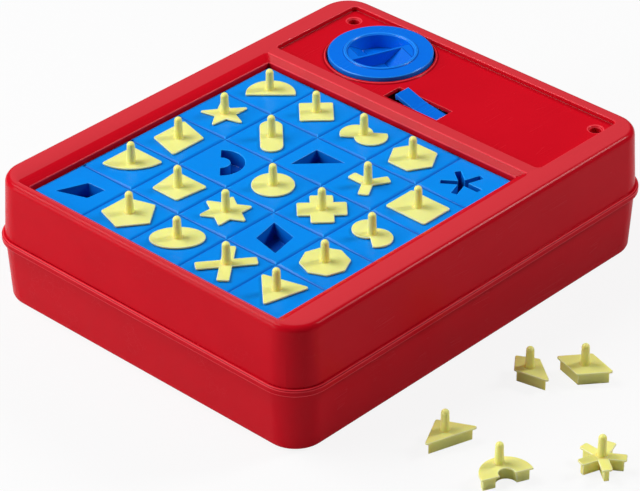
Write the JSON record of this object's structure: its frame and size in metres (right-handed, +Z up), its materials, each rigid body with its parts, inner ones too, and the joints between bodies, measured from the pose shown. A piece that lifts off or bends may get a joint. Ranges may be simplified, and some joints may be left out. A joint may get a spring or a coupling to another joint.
{
  "type": "timed shape-matching game",
  "caption": "Clockwork tabletop game: a red case with a pop-up blue tray of shaped sockets, pegged yellow pieces, a wind-up timer dial and a rocker start switch.",
  "frame": {"origin": "centre of the case's flat bottom, on the surface it stands on", "axes": "+X along the case from the tray end to the timer end, +Y from the front edge to the back edge, +Z up through the open tray"},
  "size_m": [0.2642, 0.3291, 0.0779],
  "materials": {
    "red_case": "moulded gloss, fine moulding marks",
    "blue_tray": "moulded gloss",
    "blue_dial": "moulded gloss",
    "yellow_piece": "translucent moulded gloss",
    "brass": "stamped and machined",
    "plate_steel": "stamped",
    "spring_steel": "drawn",
    "screw_steel": "zinc plated"
  },
  "bodies": {
    "case": {"case_bottom": "red_case", "case_top": "red_case", "timer_frame": "plate_steel", "timer_screws": "screw_steel", "case_screws": "screw_steel", "switch_pin": "screw_steel", "tray_springs": "spring_steel", "latch_spring": "spring_steel", "mainspring": "spring_steel"},
    "tray": {"pop_up_tray": "blue_tray"},
    "dial": {"timer_dial": "blue_dial", "dial_shaft": "screw_steel", "great_wheel": "brass"},
    "second": {"second_wheel": "brass"},
    "escape": {"escape_wheel": "brass"},
    "pallet": {"pallet_lever": "brass"},
    "switch": {"start_switch": "blue_dial"},
    "latch": {"latch_slide": "plate_steel"},
    "kite_piece": {"piece_kite": "yellow_piece"},
    "sector_piece": {"piece_sector": "yellow_piece"},
    "parallelogram_piece": {"piece_parallelogram": "yellow_piece"},
    "star_piece": {"piece_star": "yellow_piece"},
    "dome_piece": {"piece_dome": "yellow_piece"},
    "pentagon_piece": {"piece_pentagon": "yellow_piece"},
    "trapezoid_piece": {"piece_trapezoid": "yellow_piece"},
    "half_ring_piece": {"piece_half_ring": "yellow_piece"},
    "pill_piece": {"piece_pill": "yellow_piece"},
    "square_piece": {"piece_square": "yellow_piece"},
    "oval_piece": {"piece_oval": "yellow_piece"},
    "six_star_piece": {"piece_six_star": "yellow_piece"},
    "round_piece": {"piece_round": "yellow_piece"},
    "right_triangle_piece": {"piece_right_triangle": "yellow_piece"},
    "wave_piece": {"piece_wave": "yellow_piece"},
    "saltire_piece": {"piece_saltire": "yellow_piece"},
    "rhombus_piece": {"piece_rhombus": "yellow_piece"},
    "plus_piece": {"piece_plus": "yellow_piece"},
    "tripod_piece": {"piece_tripod": "yellow_piece"},
    "hexagon_piece": {"piece_hexagon": "yellow_piece"},
    "triangle_piece": {"piece_triangle": "yellow_piece"},
    "octagon_piece": {"piece_octagon": "yellow_piece"},
    "scroll_piece": {"piece_scroll": "yellow_piece"},
    "rectangle_piece": {"piece_rectangle": "yellow_piece"},
    "asterisk_piece": {"piece_asterisk": "yellow_piece"}
  },
  "joints": [
    {"name": "tray_pop", "type": "slide", "parent": "case", "child": "tray", "axis": [0, 0, 1], "range_m": [0, 0.012], "deforming": ["tray_springs"]},
    {"name": "dial_turn", "type": "hinge", "parent": "case", "child": "dial", "pos_m": [0.09265, 0.046, 0.06], "axis": [0, 0, 1], "range_deg": [-300, 0], "deforming": ["mainspring"]},
    {"name": "second_turn", "type": "hinge", "parent": "case", "child": "second", "pos_m": [0.09265, 0.0185, 0.04], "axis": [0, 0, 1], "range_deg": [0, 1200]},
    {"name": "escape_turn", "type": "hinge", "parent": "case", "child": "escape", "pos_m": [0.09265, -0.009, 0.04], "axis": [0, 0, 1], "range_deg": [-4800, 0]},
    {"name": "pallet_rock", "type": "hinge", "parent": "case", "child": "pallet", "pos_m": [0.10715, -0.008, 0.04], "axis": [0, 0, 1], "range_deg": [-4, 4]},
    {"name": "switch_rock", "type": "hinge", "parent": "case", "child": "switch", "pos_m": [0.0691, -0.0027, 0.0643], "axis": [1, 0, 0], "range_deg": [-24.6, 0]},
    {"name": "latch_slide", "type": "slide", "parent": "case", "child": "latch", "axis": [1, 0, 0], "range_m": [-0.0036, 0], "stiffness_N_per_m": 60, "deforming": ["latch_spring"]},
    {"name": "lift_kite", "type": "slide", "parent": "case", "child": "kite_piece", "axis": [0, 0, 1], "range_m": [0, 0.03]},
    {"name": "lift_sector", "type": "slide", "parent": "tray", "child": "sector_piece", "axis": [0, 0, 1], "range_m": [0, 0.03]},
    {"name": "lift_parallelogram", "type": "slide", "parent": "tray", "child": "parallelogram_piece", "axis": [0, 0, 1], "range_m": [0, 0.03]},
    {"name": "lift_star", "type": "slide", "parent": "tray", "child": "star_piece", "axis": [0, 0, 1], "range_m": [0, 0.03]},
    {"name": "lift_dome", "type": "slide", "parent": "tray", "child": "dome_piece", "axis": [0, 0, 1], "range_m": [0, 0.03]},
    {"name": "lift_pentagon", "type": "slide", "parent": "tray", "child": "pentagon_piece", "axis": [0, 0, 1], "range_m": [0, 0.03]},
    {"name": "lift_trapezoid", "type": "slide", "parent": "tray", "child": "trapezoid_piece", "axis": [0, 0, 1], "range_m": [0, 0.03]},
    {"name": "lift_half_ring", "type": "slide", "parent": "case", "child": "half_ring_piece", "axis": [0, 0, 1], "range_m": [0, 0.03]},
    {"name": "lift_pill", "type": "slide", "parent": "tray", "child": "pill_piece", "axis": [0, 0, 1], "range_m": [0, 0.03]},
    {"name": "lift_square", "type": "slide", "parent": "tray", "child": "square_piece", "axis": [0, 0, 1], "range_m": [0, 0.03]},
    {"name": "lift_oval", "type": "slide", "parent": "tray", "child": "oval_piece", "axis": [0, 0, 1], "range_m": [0, 0.03]},
    {"name": "lift_six_star", "type": "slide", "parent": "tray", "child": "six_star_piece", "axis": [0, 0, 1], "range_m": [0, 0.03]},
    {"name": "lift_round", "type": "slide", "parent": "tray", "child": "round_piece", "axis": [0, 0, 1], "range_m": [0, 0.03]},
    {"name": "lift_right_triangle", "type": "slide", "parent": "case", "child": "right_triangle_piece", "axis": [0, 0, 1], "range_m": [0, 0.03]},
    {"name": "lift_wave", "type": "slide", "parent": "tray", "child": "wave_piece", "axis": [0, 0, 1], "range_m": [0, 0.03]},
    {"name": "lift_saltire", "type": "slide", "parent": "tray", "child": "saltire_piece", "axis": [0, 0, 1], "range_m": [0, 0.03]},
    {"name": "lift_rhombus", "type": "slide", "parent": "case", "child": "rhombus_piece", "axis": [0, 0, 1], "range_m": [0, 0.03]},
    {"name": "lift_plus", "type": "slide", "parent": "tray", "child": "plus_piece", "axis": [0, 0, 1], "range_m": [0, 0.03]},
    {"name": "lift_tripod", "type": "slide", "parent": "tray", "child": "tripod_piece", "axis": [0, 0, 1], "range_m": [0, 0.03]},
    {"name": "lift_hexagon", "type": "slide", "parent": "tray", "child": "hexagon_piece", "axis": [0, 0, 1], "range_m": [0, 0.03]},
    {"name": "lift_triangle", "type": "slide", "parent": "tray", "child": "triangle_piece", "axis": [0, 0, 1], "range_m": [0, 0.03]},
    {"name": "lift_octagon", "type": "slide", "parent": "tray", "child": "octagon_piece", "axis": [0, 0, 1], "range_m": [0, 0.03]},
    {"name": "lift_scroll", "type": "slide", "parent": "tray", "child": "scroll_piece", "axis": [0, 0, 1], "range_m": [0, 0.03]},
    {"name": "lift_rectangle", "type": "slide", "parent": "tray", "child": "rectangle_piece", "axis": [0, 0, 1], "range_m": [0, 0.03]},
    {"name": "lift_asterisk", "type": "slide", "parent": "case", "child": "asterisk_piece", "axis": [0, 0, 1], "range_m": [0, 0.03]}
  ],
  "couplings": [
    {"joint": "second_turn", "follows": "dial_turn", "ratio": -4},
    {"joint": "escape_turn", "follows": "dial_turn", "ratio": 16}
  ]
}
